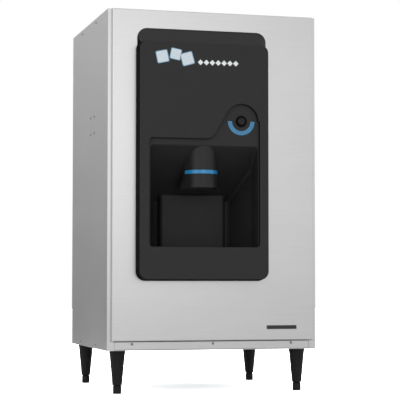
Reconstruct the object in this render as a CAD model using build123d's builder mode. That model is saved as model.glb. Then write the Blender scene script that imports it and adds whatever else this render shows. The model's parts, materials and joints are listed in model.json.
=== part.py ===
from build123d import *
from math import cos, radians, sin, sqrt, tan
import os

os.makedirs("parts", exist_ok=True)

# Frame: +X to the right seen from the front, +Y to the back, +Z up, millimetres.
# The origin is on the floor, under the middle of everything that the dispenser reaches over.

# Cabinet
cabinet_width = 762
cabinet_depth = 675
cabinet_height = 1194
leg_height = 152
sheet = 1.2
seam = 0.3
flange_width = 25
panel_reach = 16
bezel_reach = 40
outlet_reach = 20

front_y = panel_reach + bezel_reach - (panel_reach + bezel_reach + cabinet_depth + outlet_reach) / 2
back_y = front_y + cabinet_depth
rear_y = back_y - sheet
panel_y = front_y - panel_reach
face_y = panel_y - bezel_reach
middle_y = (front_y + back_y) / 2
half_width = cabinet_width / 2
base_z = leg_height
top_z = base_z + cabinet_height
inner_half_width = half_width - sheet - seam

# Top frame that carries the ice maker
top_plate = 2
frame_border_x = 81
frame_border_y = 97.5
drop_width = cabinet_width - 2 * frame_border_x
drop_depth = cabinet_depth - 2 * frame_border_y
drop_lip = 14
drop_radius = 20
gasket_width = 22
gasket_height = 6
gasket_edge = 2
bolt_edge_x = 15
bolt_edge_y = 57.5
ice_maker_bolt_span_x = cabinet_width - 2 * bolt_edge_x
ice_maker_bolt_span_y = cabinet_depth - 2 * bolt_edge_y
ice_maker_bolt_radius = 4.5
side_top_z = top_z - top_plate

# Base
base_sheet = 2
base_wall_height = 30
rail_height = 30
rail_lift = 1.5
rail_return = 12

# Legs and feet
leg_inset_x = 50
front_leg_back = 63
rear_leg_edge = 30
rear_leg_back = cabinet_depth - rear_leg_edge
leg_top_radius = 28.5
leg_waist_radius = 27
leg_foot_radius = 17
foot_radius = 14.75
foot_height = 30
foot_stem_radius = 6
foot_stem_length = 46
leg_stud_radius = 6
leg_stud_length = 18
thread_play = 0.05
leg_plate_size = 84
leg_plate_thickness = 4
nut_height = 7
nut_radius = 11

# Moulded front panel (bezel) with its mouth and button boss
bezel_x = -45
bezel_half_width = 239
bezel_low = 394
bezel_high = 1236
bezel_draft = 5.5
bezel_corner = 34
bezel_edge = 4
bezel_wall = 3.5
bezel_rim = 20
crown_half_width = 235
crown_high = 1280
crown_front_high = 1226
crown_setback = 4
crown_narrowing = 15
crown_corner = 36

mouth_left = -243
mouth_right = 156
mouth_low = 513
mouth_high = 891
mouth_corner = 11
boss_x = 90.5
boss_z = 957
boss_radius = 60
flank_lean = 30
flank_blend = 38
step_depth = 12
plate_thickness = 3
plate_y = face_y + step_depth

# Recess behind the mouth
cavity_left = -239
cavity_right = 152
cavity_low = 503
ceiling_front_z = 870
window_low = mouth_low - 2
window_corner = 12
cavity_straight = 72
cavity_depth = 190
cavity_taper = 55
cavity_corner = 24
ceiling_corner = 12
liner_wall = 3
liner_flange = 7
bulge_half_width = 124
bulge_reach = 31
bulge_top = 708
bulge_corner = 16
bulge_edge = 9
recess_x = (cavity_left + cavity_right) / 2
cavity_back_y = plate_y + cavity_depth

# Drain under the recess
tray_width = 284
tray_depth = 130
tray_front = 22
tray_wall = 2.5
tray_rim = 6
tray_drop = 34
tray_draft = 10
grille_thickness = 4
grille_bar = 5
grille_slot = 8
grille_border = 12
pipe_radius = 13
pipe_bore = 10.5
pipe_z = 212
pipe_bend = 45
pipe_x = -108
pipe_collar_radius = 19
pipe_collar = 3
tube_radius = 8
tube_bore = 6

# Spout
spout_shift = 2.5
spout_x = recess_x + spout_shift
spout_nose_radius = 54
spout_front_gap = 1
spout_low = 722
spout_skirt_z = 762
spout_half_width = 61
spout_skirt_half_width = 70
spout_shoulder = 52
spout_skirt_shoulder = 76
spout_depth = 128
spout_wall = 3
spout_corner = 9
band_z = 777
band_height = 13
band_proud = 1.6
band_wrap = 53
band_end = 6

# Auger, which lifts the ice at 45 degrees from the bin's low end to the drop chute
auger_x = spout_x
auger_top_back = 45
auger_top_z = 955
auger_shaft_radius = 10
auger_flight_radius = 55
auger_pitch = 84
auger_blade = 3.2
tube_inner_radius = 58
tube_wall = 3.5
tube_cap = 8
discharge_start = 12
discharge_length = 92
discharge_half_width = 38
inlet_length = 260
bearing_radius = 20
running_play = 0.06

# Bin (hopper), as depths behind the cabinet front and heights
bin_wall = 5
bin_side_gap = 41
bin_half_width = half_width - bin_side_gap
bin_front = 32
bin_shelf_z = 1215
bin_step_back = 106
bin_step_z = 1150
bin_rear_gap = 35
bin_back = cabinet_depth - bin_rear_gap
bin_foot_step = 55
bin_foot_back = bin_back - bin_foot_step
auger_foot_step = 70.5
auger_run = bin_foot_back - auger_top_back - auger_foot_step
auger_length = auger_run * sqrt(2)
auger_foot_height = 45.5
bin_low = auger_top_z - auger_run - auger_foot_height
bin_rear_knee_z = bin_low + 260
bin_foot_gap = 11
funnel_height = 320
funnel_z = bin_low + funnel_height
funnel_half_width = 76
floor_clearance = 1.5

# Drop chute, flap door and solenoid
chute_front = -22
chute_top = 905
chute_back = 74
chute_half_width = 41
chute_wall = 2
flap_thickness = 3
flap_pin_radius = 4
flap_barrel_radius = 7
flap_hinge_back = -12
flap_hinge_z = 893
flap_length = 115
flap_half_width = 37
crank_length = 25
crank_reach = 80.5
crank_x = spout_x + crank_reach
crank_thickness = 4
solenoid_width = 30
solenoid_length = 46
solenoid_back = 20
plunger_radius = 7
plunger_pin_radius = 3
flap_swing = 42

# Push button
button_radius = 13.9
button_play = 0.3
button_ring_radius = 20
button_ring_height = 5
button_barrel_radius = 16
button_barrel_length = 26
button_stem_radius = 4
button_travel = 5
button_proud = 2.5
arc_outer = 49
arc_inner = 34
arc_thickness = 0.8
switch_half_width = 14
switch_half_height = 9
switch_length = 24
switch_gap = 6
switch_plunger_radius = 2.5

# Agitator
agitator_z = 1086
agitator_x = 0
agitator_shaft_radius = 9
agitator_arm_radius = 6
agitator_reach = 165
agitator_arms = 4
agitator_first_arm = 250
agitator_arm_step = 85

# Screws
screw_head_radius = 4.5
screw_head_height = 2.4
screw_shank_radius = 2
screw_hole_radius = 2.3
screw_length = 9


# A plane that faces the front, at a given Y: its own axes are X and Z
def facing(y):
    return Plane.XZ.offset(-y)


# A box between two corners, in the block that is open
def block(x, y, z, mode=Mode.ADD):
    with Locations(((x[0] + x[1]) / 2, (y[0] + y[1]) / 2, (z[0] + z[1]) / 2)):
        Box(x[1] - x[0], y[1] - y[0], z[1] - z[0], mode=mode)


# A pan-head screw whose head sits on a surface: its shank points along the plane's -Z
def screw_at(plane, length=screw_length):
    with BuildSketch(plane) as head:
        Circle(screw_head_radius)
    extrude(head.sketch, amount=screw_head_height, taper=25)
    with BuildSketch(plane) as shank:
        Circle(screw_shank_radius)
    extrude(shank.sketch, amount=-length)


# Side panels: folded pans, open at the bottom and towards the middle
screw_high_z = top_z - 15
screw_low_z = base_z + 16
side_screw_places = [(214, screw_high_z), (477, screw_high_z), (204, screw_low_z), (484, screw_low_z)]
bracket_screw_places = [(243, 991), (308, 991), (243, 930), (308, 930)]
rear_screw_x = half_width - flange_width / 2
rear_screw_low = base_z + 38
rear_screw_step = (top_z - 36 - rear_screw_low) / 4
rear_screw_zs = [rear_screw_low + k * rear_screw_step for k in range(5)]
bolt_ys = [middle_y - ice_maker_bolt_span_y / 2, middle_y + ice_maker_bolt_span_y / 2]

with BuildPart() as left_side_panel:
    block((-half_width, -half_width + flange_width), (front_y, back_y), (base_z, side_top_z))
    inner_face = left_side_panel.faces().sort_by(Axis.X)[-1]
    bottom_face = left_side_panel.faces().sort_by(Axis.Z)[0]
    offset(amount=-sheet, openings=[inner_face, bottom_face])
    with BuildSketch(Plane.YZ.offset(-half_width)):
        with Locations(*[(front_y + y, z) for y, z in side_screw_places + bracket_screw_places]):
            Circle(screw_hole_radius)
    extrude(amount=sheet, mode=Mode.SUBTRACT)
    with BuildSketch(facing(back_y)):
        with Locations(*[(-rear_screw_x, z) for z in rear_screw_zs]):
            Circle(screw_hole_radius)
    extrude(amount=sheet, mode=Mode.SUBTRACT)
    with Locations(*[(-ice_maker_bolt_span_x / 2, y, side_top_z) for y in bolt_ys]):
        Cylinder(ice_maker_bolt_radius, 4 * sheet, mode=Mode.SUBTRACT)

with BuildPart() as right_side_panel:
    mirror(left_side_panel.part, about=Plane.YZ)

left_side_panel.part.label = "left_side_panel"
export_step(left_side_panel.part, "parts/left_side_panel.step")
right_side_panel.part.label = "right_side_panel"
export_step(right_side_panel.part, "parts/right_side_panel.step")

# Base pan: a tray between the side panels, with a hole over each leg
base_front_y = front_y + sheet + seam
base_back_y = back_y - 2 * sheet - 2 * seam
leg_x = half_width - leg_inset_x
leg_places = [(x, front_y + y) for x in (-leg_x, leg_x) for y in (front_leg_back, rear_leg_back)]

with BuildPart() as base_pan:
    block(
        (-inner_half_width, inner_half_width),
        (base_front_y, base_back_y),
        (base_z, base_z + base_wall_height),
    )
    offset(amount=-base_sheet, openings=base_pan.faces().sort_by(Axis.Z)[-1])
    with Locations(*[(x, y, base_z) for x, y in leg_places]):
        Cylinder(leg_stud_radius + seam, 4 * base_sheet, mode=Mode.SUBTRACT)
    for y, z in side_screw_places[2:]:
        with Locations(Location((0, front_y + y, z), (0, 90, 0))):
            Cylinder(screw_hole_radius, 2 * half_width, mode=Mode.SUBTRACT)
base_pan.part.label = "base_pan"
export_step(base_pan.part, "parts/base_pan.step")

# Base rail: an angle in front of the base pan, between the side panels' front flanges
rail_half = half_width - flange_width - seam
rail_low = base_z + rail_lift
rail_top = rail_low + rail_height
rail_screw_xs = (-292, 0, 289)
rail_screw_z = 174.5
with BuildPart() as base_rail:
    with BuildSketch(Plane.YZ.offset(-rail_half)):
        with BuildLine():
            Polyline(
                (front_y, rail_low),
                (front_y + sheet, rail_low),
                (front_y + sheet, rail_top - sheet),
                (front_y + rail_return, rail_top - sheet),
                (front_y + rail_return, rail_top),
                (front_y, rail_top),
                close=True,
            )
        make_face()
    extrude(amount=2 * rail_half)
    with BuildSketch(facing(front_y)):
        with Locations(*[(x, rail_screw_z) for x in rail_screw_xs]):
            Circle(screw_hole_radius)
    extrude(amount=-sheet, mode=Mode.SUBTRACT)
base_rail.part.label = "base_rail"
export_step(base_rail.part, "parts/base_rail.step")

# Legs: turned bodies with a stud on top and a threaded bore below, and their screw-in feet
leg_body_low = foot_height


def leg(x, y):
    with BuildPart() as body:
        with BuildSketch(Plane.XZ.offset(-y)):
            with BuildLine():
                Polyline(
                    (x, leg_body_low),
                    (x + leg_foot_radius - 2, leg_body_low),
                    (x + leg_foot_radius, leg_body_low + 2),
                    (x + leg_waist_radius, base_z - 14),
                    (x + leg_top_radius, base_z - 10),
                    (x + leg_top_radius, base_z),
                    (x + leg_stud_radius, base_z),
                    (x + leg_stud_radius, base_z + leg_stud_length),
                    (x, base_z + leg_stud_length),
                    close=True,
                )
            make_face()
        revolve(axis=Axis((x, y, 0), (0, 0, 1)))
        with BuildSketch(Plane.XY.offset(leg_body_low)):
            with Locations((x, y)):
                Circle(foot_stem_radius + thread_play)
        extrude(amount=foot_stem_length + 4, mode=Mode.SUBTRACT)
    return body


def foot(x, y):
    with BuildPart() as body:
        with BuildSketch(Plane.XY):
            with Locations((x, y)):
                Circle(foot_radius)
        extrude(amount=foot_height - seam)
        fillet(body.edges().group_by(Axis.Z)[0], 2)
        chamfer(body.edges().group_by(Axis.Z)[-1], 3)
        with BuildSketch(Plane.XY.offset(foot_height - seam)):
            with Locations((x, y)):
                Circle(foot_stem_radius)
        extrude(amount=foot_stem_length)
    return body


for corner, (x, y) in zip(("front_left", "rear_left", "front_right", "rear_right"), leg_places):
    one_leg = leg(x, y)
    one_leg.part.label = f"leg_{corner}"
    export_step(one_leg.part, f"parts/leg_{corner}.step")
    one_foot = foot(x, y)
    one_foot.part.label = f"foot_{corner}"
    export_step(one_foot.part, f"parts/foot_{corner}.step")

plate_low = base_z + base_sheet
with BuildPart() as leg_plates:
    for x, y in leg_places:
        shift = min(0, base_back_y - base_sheet - seam - leg_plate_size / 2 - y)
        with BuildSketch(Plane.XY.offset(plate_low)):
            with Locations((x, y + shift)):
                Rectangle(leg_plate_size, leg_plate_size)
            with Locations((x, y)):
                Circle(leg_stud_radius + seam, mode=Mode.SUBTRACT)
        extrude(amount=leg_plate_thickness)
leg_plates.part.label = "leg_plates"
export_step(leg_plates.part, "parts/leg_plates.step")

with BuildPart() as leg_nuts:
    with BuildSketch(Plane.XY.offset(plate_low + leg_plate_thickness)):
        with Locations(*leg_places):
            RegularPolygon(nut_radius, 6)
            Circle(leg_stud_radius + thread_play, mode=Mode.SUBTRACT)
    extrude(amount=nut_height)
leg_nuts.part.label = "leg_nuts"
export_step(leg_nuts.part, "parts/leg_nuts.step")

# Front panel: a pan with the cut-out that the moulded panel covers
front_half = half_width - 1.7
front_low = rail_top + 1.2
front_high = top_z - 0.7
cut_out_margin = bezel_rim + 2
with BuildPart() as front_panel:
    block((-front_half, front_half), (panel_y, front_y), (front_low, front_high))
    fillet(front_panel.edges().filter_by(Axis.Z).group_by(Axis.Y)[0], 2.5)
    offset(amount=-sheet, openings=front_panel.faces().sort_by(Axis.Y)[-1])
    with BuildSketch(facing(panel_y)):
        with Locations((bezel_x, (bezel_low + crown_high) / 2)):
            RectangleRounded(
                2 * (bezel_half_width - cut_out_margin),
                crown_high - bezel_low - 2 * cut_out_margin,
                bezel_corner - 10,
            )
    extrude(amount=-sheet, mode=Mode.SUBTRACT)

# Moulded panel: two drafted forms, the main one and the sloped crown above it
stud_radius = 2.5
stud_length = 9
bezel_stud_places = [
    (bezel_x + side * (bezel_half_width - bezel_rim / 2 - 2), z)
    for side in (-1, 1)
    for z in (bezel_low + 60, 620, 800, 980, bezel_high - 60)
]


# One rounded outline of the moulded panel, facing the front
def outline(y, half, low, high, corner):
    with BuildSketch(facing(y)) as shape:
        with Locations((bezel_x, (low + high) / 2)):
            RectangleRounded(2 * half, high - low, corner)
    return shape.sketch


# The moulded panel's outer form, or with an inset the hollow behind it
def bezel_form(inset):
    base = outline(panel_y, bezel_half_width - inset, bezel_low + inset, bezel_high - inset, bezel_corner)
    front = outline(
        face_y + inset,
        bezel_half_width - bezel_draft - inset,
        bezel_low + bezel_draft + inset,
        bezel_high - bezel_draft - inset,
        bezel_corner - bezel_draft,
    )
    with BuildPart() as form:
        loft([base.face(), front.face()])
        if inset == 0:
            fillet(form.edges().group_by(Axis.Y)[0], bezel_edge)
    crown_base = outline(panel_y, crown_half_width - inset, mouth_high, crown_high - inset, crown_corner)
    crown_front = outline(
        face_y + crown_setback + inset,
        crown_half_width - crown_narrowing - inset,
        mouth_high,
        crown_front_high - inset,
        crown_corner - crown_narrowing,
    )
    with BuildPart() as crown:
        loft([crown_base.face(), crown_front.face()])
    return form.part + crown.part


# The mouth's outline: a rectangle that rises over a slanted flank to the round boss
def mouth_outline(y, grow=0):
    lean = radians(flank_lean)
    tangent = (boss_x - boss_radius * cos(lean), boss_z + boss_radius * sin(lean))
    flank_foot = tangent[0] - (tangent[1] - mouth_high) * tan(lean)
    with BuildSketch(facing(y)) as outer:
        with Locations(((mouth_left + mouth_right) / 2, (mouth_low + mouth_high) / 2)):
            Rectangle(mouth_right - mouth_left, mouth_high - mouth_low)
        with Locations((boss_x, boss_z)):
            Circle(boss_radius)
        with BuildLine():
            Polyline(
                (flank_foot, mouth_high),
                tangent,
                (boss_x, boss_z),
                (mouth_right, boss_z),
                (mouth_right, mouth_high),
                close=True,
            )
        make_face()
        corners = [v for v in outer.vertices() if v.Y < mouth_low + 1]
        corners += [v for v in outer.vertices() if v.X < mouth_left + 1 and v.Y > mouth_high - 1]
        fillet(corners, mouth_corner)
        fillet(outer.vertices().sort_by_distance((flank_foot, mouth_high, 0))[0], flank_blend)
        if grow:
            offset(amount=grow)
    return outer.sketch


# The recess: tapered side walls in plan, under a ceiling that falls back at 45 degrees
def recess_form(grow, low):
    back = cavity_back_y + grow
    knee = plate_y + cavity_straight
    with BuildPart() as form:
        with BuildSketch(Plane.XY.offset(low)):
            with BuildLine():
                Polyline(
                    (cavity_left - grow, plate_y),
                    (cavity_left - grow, knee),
                    (cavity_left + cavity_taper - grow, back),
                    (cavity_right - cavity_taper + grow, back),
                    (cavity_right + grow, knee),
                    (cavity_right + grow, plate_y),
                    close=True,
                )
            make_face()
        extrude(amount=ceiling_front_z - low + 2 * grow)
        ceiling = ceiling_front_z + grow * sqrt(2)
        with BuildSketch(Plane.YZ.offset(cavity_left - 2 * liner_flange)):
            with BuildLine():
                Polyline(
                    (plate_y, low),
                    (plate_y, ceiling),
                    (back, ceiling - (back - plate_y)),
                    (back, low),
                    close=True,
                )
            make_face()
        extrude(amount=cavity_right - cavity_left + 4 * liner_flange, mode=Mode.INTERSECT)
        inner_edges = form.edges().filter_by(Axis.Z).filter_by_position(Axis.Y, plate_y + 1, back_y)
        fillet(inner_edges, cavity_corner + grow)
        roof = form.faces().filter_by(lambda face: abs(face.normal_at().Z - sqrt(0.5)) < 0.01)[0]
        roof_edges = [e for e in roof.edges() if e.center().Y > plate_y + 1]
        fillet(roof_edges, ceiling_corner + grow)
    return form.part


with BuildPart() as bezel:
    add(bezel_form(0))
    add(bezel_form(bezel_wall), mode=Mode.SUBTRACT)
    # Flange that lies on the front panel
    with BuildSketch(facing(panel_y)) as flange:
        with Locations((bezel_x, (bezel_low + crown_high) / 2)):
            RectangleRounded(
                2 * crown_half_width - 1, crown_high - bezel_low - 2, crown_corner - 1
            )
            RectangleRounded(
                2 * (crown_half_width - bezel_rim),
                crown_high - bezel_low - 2 * bezel_rim,
                bezel_corner - 12,
                mode=Mode.SUBTRACT,
            )
    extrude(amount=bezel_wall)
    # Wall and floor of the shallow step behind the mouth, then the mouth itself
    extrude(mouth_outline(face_y + 1, bezel_wall), amount=-(step_depth - 1 + plate_thickness))
    extrude(mouth_outline(face_y - 1), amount=-(step_depth + 1), mode=Mode.SUBTRACT)
    with BuildSketch(facing(plate_y)):
        with Locations((recess_x, (window_low + ceiling_front_z) / 2)):
            RectangleRounded(cavity_right - cavity_left, ceiling_front_z - window_low, window_corner)
        with Locations((boss_x, boss_z)):
            Circle(button_barrel_radius + seam)
    extrude(amount=-plate_thickness, mode=Mode.SUBTRACT)
    # Studs on the flange, which pass through the front panel
    with BuildSketch(facing(panel_y)):
        with Locations(*bezel_stud_places):
            Circle(stud_radius)
    extrude(amount=-stud_length)
bezel.part.label = "bezel"
export_step(bezel.part, "parts/bezel.step")

with front_panel:
    with BuildSketch(facing(panel_y)):
        with Locations(*bezel_stud_places):
            Circle(stud_radius + seam)
    extrude(amount=-sheet, mode=Mode.SUBTRACT)
front_panel.part.label = "front_panel"
export_step(front_panel.part, "parts/front_panel.step")

with BuildPart() as bezel_nuts:
    with BuildSketch(facing(panel_y + sheet)):
        with Locations(*bezel_stud_places):
            RegularPolygon(4.6, 6)
            Circle(stud_radius + thread_play, mode=Mode.SUBTRACT)
    extrude(amount=-4)
bezel_nuts.part.label = "bezel_nuts"
export_step(bezel_nuts.part, "parts/bezel_nuts.step")

# Recess liner: one moulding with the box on its back wall, a tray opening and the spout's throat
liner_front_y = plate_y + plate_thickness
floor_z = cavity_low - liner_wall
tray_y = (plate_y + tray_front, plate_y + tray_front + tray_depth)
tray_x = (recess_x - tray_width / 2, recess_x + tray_width / 2)
throat_front = front_y + chute_front
throat_back = front_y + chute_back
bulge_y = cavity_back_y - bulge_reach


# The moulded box on the back wall, or with an inset the hollow inside it
def bulge_form(inset):
    with BuildPart() as form:
        block(
            (recess_x - bulge_half_width + inset, recess_x + bulge_half_width - inset),
            (bulge_y + inset, cavity_back_y + 2 * liner_wall),
            (cavity_low - liner_wall, bulge_top - inset),
        )
        fillet(form.edges().filter_by(Axis.Z).group_by(Axis.Y)[0], bulge_corner - inset)
        top_edges = form.edges().group_by(Axis.Z)[-1].filter_by_position(Axis.Y, face_y, cavity_back_y - 1)
        fillet(top_edges, bulge_edge - inset)
    return form.part


with BuildPart() as recess_liner:
    add(recess_form(liner_wall, floor_z))
    with BuildSketch(facing(liner_front_y + liner_wall)):
        with Locations((recess_x, (floor_z + ceiling_front_z) / 2)):
            Rectangle(
                cavity_right - cavity_left + 2 * liner_flange,
                ceiling_front_z - floor_z + 2 * liner_flange,
            )
    extrude(amount=liner_wall)
    add(recess_form(0, cavity_low), mode=Mode.SUBTRACT)
    add(bulge_form(0))
    add(bulge_form(liner_wall), mode=Mode.SUBTRACT)
    block(
        (-half_width, half_width),
        (face_y, liner_front_y),
        (floor_z, ceiling_front_z + 20),
        Mode.SUBTRACT,
    )
    block(tray_x, tray_y, (floor_z - 1, cavity_low + 1), Mode.SUBTRACT)
    block(
        (spout_x - chute_half_width, spout_x + chute_half_width),
        (throat_front, throat_back),
        (spout_skirt_z - 20, ceiling_front_z),
        Mode.SUBTRACT,
    )
recess_liner.part.label = "recess_liner"
export_step(recess_liner.part, "parts/recess_liner.step")

# Drain tray: a drafted pan that hangs by its rim in the liner's floor, with a spigot below
spigot_y = (tray_y[0] + tray_y[1]) / 2
tray_low = cavity_low - tray_drop
spigot_low = tray_low - 16


# The tray's outline at a height, drawn in by an inset
def tray_outline(z, inset):
    with BuildSketch(Plane.XY.offset(z)) as shape:
        with Locations((recess_x, spigot_y)):
            RectangleRounded(tray_width - 2 * seam - 2 * inset, tray_depth - 2 * seam - 2 * inset, 8)
    return shape.sketch.face()


with BuildPart() as drain_tray:
    loft([tray_outline(cavity_low, 0), tray_outline(tray_low, tray_draft)])
    extrude(tray_outline(cavity_low, -tray_rim - seam), amount=tray_wall)
    hollow_top = tray_outline(cavity_low + tray_wall, tray_wall)
    hollow_low = tray_outline(tray_low + tray_wall, tray_draft + tray_wall)
    loft([hollow_top, hollow_low], mode=Mode.SUBTRACT)
    with BuildSketch(Plane.XY.offset(tray_low)):
        with Locations((pipe_x, spigot_y)):
            Circle(pipe_radius)
    extrude(amount=-(tray_low - spigot_low))
    with BuildSketch(Plane.XY.offset(spigot_low)):
        with Locations((pipe_x, spigot_y)):
            Circle(pipe_bore)
    extrude(amount=tray_drop, mode=Mode.SUBTRACT)
drain_tray.part.label = "drain_tray"
export_step(drain_tray.part, "parts/drain_tray.step")

# Grille: a lift-out plate of bars that lies on the tray's rim
grille_width = tray_width + tray_rim
grille_depth = tray_depth + tray_rim
slot_pitch = grille_bar + grille_slot
slot_count = int((grille_width - 2 * grille_border + grille_bar) / slot_pitch)
with BuildPart() as drain_grille:
    with BuildSketch(Plane.XY.offset(cavity_low + tray_wall)):
        with Locations((recess_x, spigot_y)):
            RectangleRounded(grille_width, grille_depth, 8)
            with GridLocations(slot_pitch, 0, slot_count, 1):
                Rectangle(grille_slot, grille_depth - 2 * grille_border, mode=Mode.SUBTRACT)
    extrude(amount=grille_thickness)
drain_grille.part.label = "drain_grille"
export_step(drain_grille.part, "parts/drain_grille.step")

# Drain pipe: from the tray's spigot down and out through the rear panel
bin_drain_y = front_y + 480
with BuildPart() as drain_pipe:
    with BuildLine():
        FilletPolyline(
            (pipe_x, spigot_y, spigot_low),
            (pipe_x, spigot_y, pipe_z),
            (pipe_x, back_y + outlet_reach, pipe_z),
            radius=pipe_bend,
        )
    with BuildSketch(Plane.XY.offset(spigot_low)):
        with Locations((pipe_x, spigot_y)):
            Circle(pipe_radius)
            Circle(pipe_bore, mode=Mode.SUBTRACT)
    sweep()
    with BuildSketch(facing(back_y + pipe_collar)):
        with Locations((pipe_x, pipe_z)):
            Circle(pipe_collar_radius)
            Circle(pipe_bore, mode=Mode.SUBTRACT)
    extrude(amount=back_y + pipe_collar - rear_y - seam)
    with Locations((pipe_x, bin_drain_y, pipe_z + pipe_radius)):
        Cylinder(tube_bore, 2 * pipe_radius - 4, mode=Mode.SUBTRACT)
drain_pipe.part.label = "drain_pipe"
export_step(drain_pipe.part, "parts/drain_pipe.step")

with BuildPart() as bin_drain_tube:
    with BuildSketch(Plane.XY.offset(pipe_z)):
        with Locations((pipe_x, bin_drain_y)):
            Circle(tube_radius)
            Circle(tube_bore, mode=Mode.SUBTRACT)
    extrude(amount=bin_low - bin_wall - pipe_z)
    with BuildSketch(facing(bin_drain_y + 2 * pipe_radius)):
        with Locations((pipe_x, pipe_z)):
            Circle(pipe_radius)
    extrude(amount=4 * pipe_radius, mode=Mode.SUBTRACT)
bin_drain_tube.part.label = "bin_drain_tube"
export_step(bin_drain_tube.part, "parts/bin_drain_tube.step")

# Spout: a round-nosed chute under the sloped ceiling, with a skirt that flares at its foot
spout_front_y = plate_y + spout_front_gap
nose_y = spout_front_y + spout_nose_radius


# The spout's outline in plan: a hull of the nose, the shoulders and the rear corners
def spout_plan(z, half, shoulder, inset):
    side = half - spout_corner
    with BuildSketch(Plane.XY.offset(z)) as plan:
        with Locations((spout_x, nose_y)):
            Circle(spout_nose_radius - inset)
        with Locations(
            (spout_x - side, spout_front_y + shoulder + spout_corner),
            (spout_x + side, spout_front_y + shoulder + spout_corner),
            (spout_x - side, spout_front_y + spout_depth - spout_corner),
            (spout_x + side, spout_front_y + spout_depth - spout_corner),
        ):
            Circle(spout_corner - inset)
        make_hull()
    return plan.sketch


# The spout's outer form, or with an inset the passage through it
def spout_form(inset, low, high):
    foot = spout_plan(low, spout_skirt_half_width, spout_skirt_shoulder, inset)
    knee = spout_plan(spout_skirt_z, spout_half_width, spout_shoulder, inset)
    with BuildPart() as form:
        loft([foot.face(), knee.face()])
        extrude(knee, amount=high - spout_skirt_z)
    return form.part


with BuildPart() as spout:
    add(spout_form(0, spout_low, ceiling_front_z))
    add(spout_form(spout_wall, spout_low, ceiling_front_z + 1), mode=Mode.SUBTRACT)
    with BuildSketch(Plane.YZ.offset(cavity_left)):
        with BuildLine():
            Polyline(
                (face_y, ceiling_front_z + plate_y - face_y),
                (cavity_back_y, ceiling_front_z - cavity_depth),
                (cavity_back_y, ceiling_front_z + cavity_depth),
                (face_y, ceiling_front_z + cavity_depth),
                close=True,
            )
        make_face()
    extrude(amount=cavity_right - cavity_left, mode=Mode.SUBTRACT)
spout.part.label = "spout"
export_step(spout.part, "parts/spout.step")

with BuildPart() as spout_band:
    band_outline = spout_plan(band_z - band_height / 2, spout_half_width, spout_shoulder, 0)
    with BuildSketch(Plane.XY.offset(band_z - band_height / 2)):
        add(offset(band_outline, amount=band_proud))
        add(band_outline, mode=Mode.SUBTRACT)
    extrude(amount=band_height)
    with BuildSketch(Plane.YZ.offset(cavity_left)):
        with Locations((spout_front_y, band_z)):
            RectangleRounded(2 * band_wrap, band_height, band_end)
    extrude(amount=cavity_right - cavity_left, mode=Mode.INTERSECT)
spout_band.part.label = "spout_band"
export_step(spout_band.part, "parts/spout_band.step")

# Push button: a domed cap in a collar, on a stem that works the switch behind
collar_bore = button_radius + button_play
barrel_back_y = plate_y + button_barrel_length
cap_back_y = plate_y + 4
stem_back_y = barrel_back_y + 6
with BuildPart() as button_collar:
    with BuildSketch(facing(plate_y)):
        with Locations((boss_x, boss_z)):
            Circle(button_ring_radius)
    extrude(amount=button_ring_height)
    fillet(button_collar.edges().group_by(Axis.Y)[0], 2)
    with BuildSketch(facing(plate_y)):
        with Locations((boss_x, boss_z)):
            Circle(button_barrel_radius)
    extrude(amount=-button_barrel_length)
    with BuildSketch(facing(barrel_back_y - 3)):
        with Locations((boss_x, boss_z)):
            Circle(collar_bore)
    extrude(amount=button_barrel_length + button_ring_height, mode=Mode.SUBTRACT)
    with BuildSketch(facing(barrel_back_y)):
        with Locations((boss_x, boss_z)):
            Circle(button_stem_radius + running_play)
    extrude(amount=4, mode=Mode.SUBTRACT)
button_collar.part.label = "button_collar"
export_step(button_collar.part, "parts/button_collar.step")

with BuildPart() as push_button:
    with BuildSketch(facing(cap_back_y)):
        with Locations((boss_x, boss_z)):
            Circle(button_radius)
    extrude(amount=cap_back_y - plate_y + button_ring_height + button_proud)
    fillet(push_button.edges().group_by(Axis.Y)[0], 3.5)
    with BuildSketch(facing(cap_back_y)):
        with Locations((boss_x, boss_z)):
            Circle(button_stem_radius)
    extrude(amount=-(stem_back_y - cap_back_y))
push_button.part.label = "push_button"
export_step(push_button.part, "parts/push_button.step")

spring_wire = 0.9
spring_coil_radius = 8
spring_turns = 5
spring_room = barrel_back_y - 3 - cap_back_y - 2 * spring_wire - 0.4
with BuildPart() as button_spring:
    with BuildLine() as coil:
        Helix(
            pitch=spring_room / spring_turns,
            height=spring_room,
            radius=spring_coil_radius,
            center=(boss_x, cap_back_y + spring_wire + 0.2, boss_z),
            direction=(0, 1, 0),
        )
    with BuildSketch(Plane(origin=coil.line @ 0, z_dir=coil.line % 0)):
        RegularPolygon(spring_wire, 6)
    sweep(is_frenet=True)
button_spring.part.label = "button_spring"
export_step(button_spring.part, "parts/button_spring.step")

with BuildPart() as button_nut:
    with BuildSketch(facing(plate_y + plate_thickness)):
        with Locations((boss_x, boss_z)):
            RegularPolygon(button_barrel_radius + 6, 6)
            Circle(button_barrel_radius + thread_play, mode=Mode.SUBTRACT)
    extrude(amount=-5)
button_nut.part.label = "button_nut"
export_step(button_nut.part, "parts/button_nut.step")

switch_front_y = stem_back_y + switch_gap
with BuildPart() as switch_plunger:
    with BuildSketch(facing(stem_back_y)):
        with Locations((boss_x, boss_z)):
            Circle(switch_plunger_radius)
    extrude(amount=-(switch_gap + 8))
switch_plunger.part.label = "switch_plunger"
export_step(switch_plunger.part, "parts/switch_plunger.step")

with BuildPart() as button_switch:
    block(
        (boss_x - switch_half_width, boss_x + switch_half_width),
        (switch_front_y, switch_front_y + switch_length),
        (boss_z - switch_half_height, boss_z + switch_half_height),
    )
    with BuildSketch(facing(switch_front_y)):
        with Locations((boss_x, boss_z)):
            Circle(switch_plunger_radius + running_play)
    extrude(amount=-(8 + button_travel + 2), mode=Mode.SUBTRACT)
button_switch.part.label = "button_switch"
export_step(button_switch.part, "parts/button_switch.step")

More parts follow.
